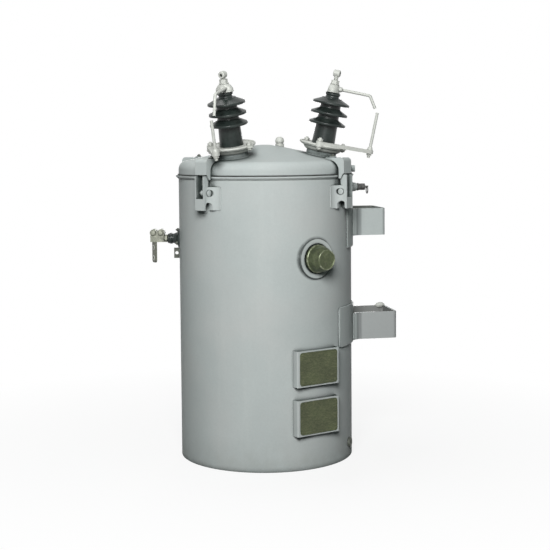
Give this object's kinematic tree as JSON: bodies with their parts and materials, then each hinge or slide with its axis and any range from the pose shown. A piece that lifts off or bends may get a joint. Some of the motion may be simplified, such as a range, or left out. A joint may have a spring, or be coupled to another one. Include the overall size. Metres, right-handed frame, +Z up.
{
  "type": "pole mounted transformer",
  "caption": "Round single phase pole mounted transformer: conical clamped cover, two high voltage bushings with arcing horns, two pole hangers.",
  "frame": {"origin": "centre of the tank's foot, on the floor that it stands on", "axes": "+Z up along the tank's axis, +X towards the pole"},
  "size_m": [0.6633, 0.5376, 1.0422],
  "materials": {
    "tank_paint": "satin light grey paint",
    "galvanised": "dull tinned and galvanised",
    "porcelain": "dark glaze",
    "bronze": "aged bronze",
    "olive_metal": "olive passivated",
    "valve_brass": "dark tarnished brass",
    "dark_steel": "dark steel",
    "gasket": "matt"
  },
  "bodies": {
    "root": {"blank_plate_lower": "olive_metal", "blank_plate_upper": "olive_metal", "cap_ring": "tank_paint", "cover": "tank_paint", "cover_gasket": "gasket", "cover_hook_front_left": "tank_paint", "cover_hook_front_right": "tank_paint", "cover_hook_rear_left": "tank_paint", "cover_hook_rear_right": "tank_paint", "cover_plug": "galvanised", "ground_pad": "dark_steel", "ground_tab": "dark_steel", "hanger_lower": "tank_paint", "hanger_pad_lower": "tank_paint", "hanger_pad_upper": "tank_paint", "hanger_upper": "tank_paint", "horn_bar_left": "galvanised", "horn_bar_right": "galvanised", "horn_lower_left": "galvanised", "horn_lower_right": "galvanised", "horn_upper_left": "galvanised", "horn_upper_right": "galvanised", "hv_boss_left": "tank_paint", "hv_boss_right": "tank_paint", "hv_clamp_ring_left": "galvanised", "hv_clamp_ring_right": "galvanised", "hv_insulator_left": "porcelain", "hv_insulator_right": "porcelain", "hv_terminal_left": "galvanised", "hv_terminal_right": "galvanised", "lv_insulator_front": "porcelain", "lv_insulator_rear": "porcelain", "lv_terminal_front": "bronze", "lv_terminal_rear": "bronze", "plate_holder_lower": "tank_paint", "plate_holder_upper": "tank_paint", "relief_valve": "valve_brass", "round_cap": "olive_metal", "swing_bolt_front_left": "tank_paint", "swing_bolt_front_right": "tank_paint", "swing_bolt_rear_left": "tank_paint", "swing_bolt_rear_right": "tank_paint", "tank_bottom": "tank_paint", "tank_keeper_front_left": "tank_paint", "tank_keeper_front_right": "tank_paint", "tank_keeper_rear_left": "tank_paint", "tank_keeper_rear_right": "tank_paint", "tank_rim": "tank_paint", "tank_wall": "tank_paint"}
  },
  "joints": []
}
